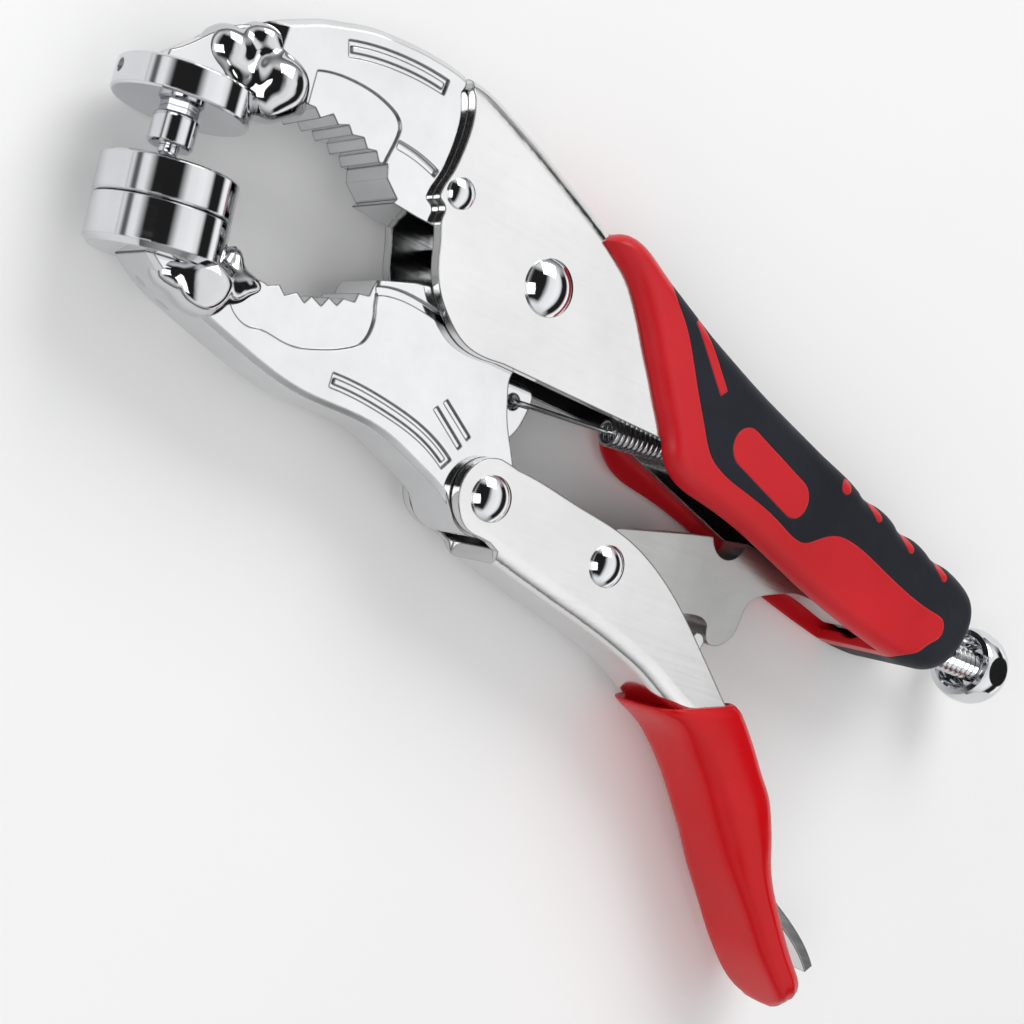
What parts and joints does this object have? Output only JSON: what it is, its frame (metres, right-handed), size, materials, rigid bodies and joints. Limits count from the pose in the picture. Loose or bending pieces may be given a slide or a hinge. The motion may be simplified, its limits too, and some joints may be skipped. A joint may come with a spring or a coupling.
{
  "type": "snap setter pliers",
  "caption": "Locking toggle pliers with toothed jaws, a punch over a round snap die, a sleeved lever and a two-tone handle grip with an adjusting screw.",
  "frame": {"origin": "centre of the bounding box on the surface that the tool lies on", "axes": "+X along the fixed handle's adjusting screw, from the jaws to the knob; +Y from the moving lever towards the handle's spine; +Z square to the pliers' flat side, up from the surface"},
  "size_m": [0.2292, 0.134, 0.022],
  "materials": {
    "chrome": "polished",
    "bright_sheet": "bright nickel on pressed sheet",
    "satin_steel": "satin",
    "red_plastic": "semi gloss",
    "black_rubber": "matt",
    "red_vinyl": "glossy dipped vinyl",
    "spring_steel": "drawn wire"
  },
  "bodies": {
    "frame": {"upper_jaw": "chrome", "upper_anvil_disc": "chrome", "punch": "chrome", "punch_set_screw": "satin_steel", "handle_channel": "bright_sheet", "front_jaw_rivet": "chrome", "main_pivot_rivet": "chrome", "spring_anchor_pin": "satin_steel", "tension_spring": "spring_steel", "grip_core": "red_plastic", "grip_overmould": "black_rubber", "thread_nut": "satin_steel"},
    "lower_jaw": {"lower_jaw": "chrome", "lower_anvil_base": "chrome", "die_stud": "satin_steel", "snap_die": "chrome", "lever_pivot_rivet": "chrome"},
    "lever": {"lever_channel": "bright_sheet", "lever_sleeve": "red_vinyl", "link_pivot_rivet": "chrome", "release_pin": "satin_steel"},
    "link": {"toggle_link": "satin_steel"},
    "release": {"release_lever": "chrome"},
    "screw": {"screw_shank": "chrome"},
    "knob": {"screw_knob": "chrome"}
  },
  "joints": [
    {"name": "jaw_pivot", "type": "hinge", "parent": "frame", "child": "lower_jaw", "pos_m": [-0.0389, 0.04185, 0.011], "axis": [0, 0, 1], "range_deg": [-1.3, 15.6], "deforming": ["tension_spring"]},
    {"name": "lever_pivot", "type": "hinge", "parent": "lower_jaw", "child": "lever", "pos_m": [-0.0373, 0.00625, 0.011], "axis": [0, 0, 1], "range_deg": [-50, 4]},
    {"name": "link_pivot", "type": "hinge", "parent": "lever", "child": "link", "pos_m": [-0.0096, 0.00285, 0.011], "axis": [0, 0, 1], "range_deg": [-3.8, 46.2]},
    {"name": "release_pivot", "type": "hinge", "parent": "lever", "child": "release", "pos_m": [0.0331, -0.02045, 0.011], "axis": [0, 0, 1], "range_deg": [-2.5, 3]},
    {"name": "screw_feed", "type": "slide", "parent": "frame", "child": "screw", "axis": [1, 0, 0], "range_m": [0, 0.01]},
    {"name": "screw_turn", "type": "hinge", "parent": "screw", "child": "knob", "pos_m": [0.1063, 0.01245, 0.011], "axis": [1, 0, 0], "range_deg": [0, 2058]}
  ],
  "couplings": [
    {"joint": "jaw_pivot", "follows": "lever_pivot", "ratio": -0.31},
    {"joint": "link_pivot", "follows": "lever_pivot", "ratio": -0.92},
    {"joint": "screw_turn", "follows": "screw_feed", "rad_per_m": 3590.4}
  ]
}
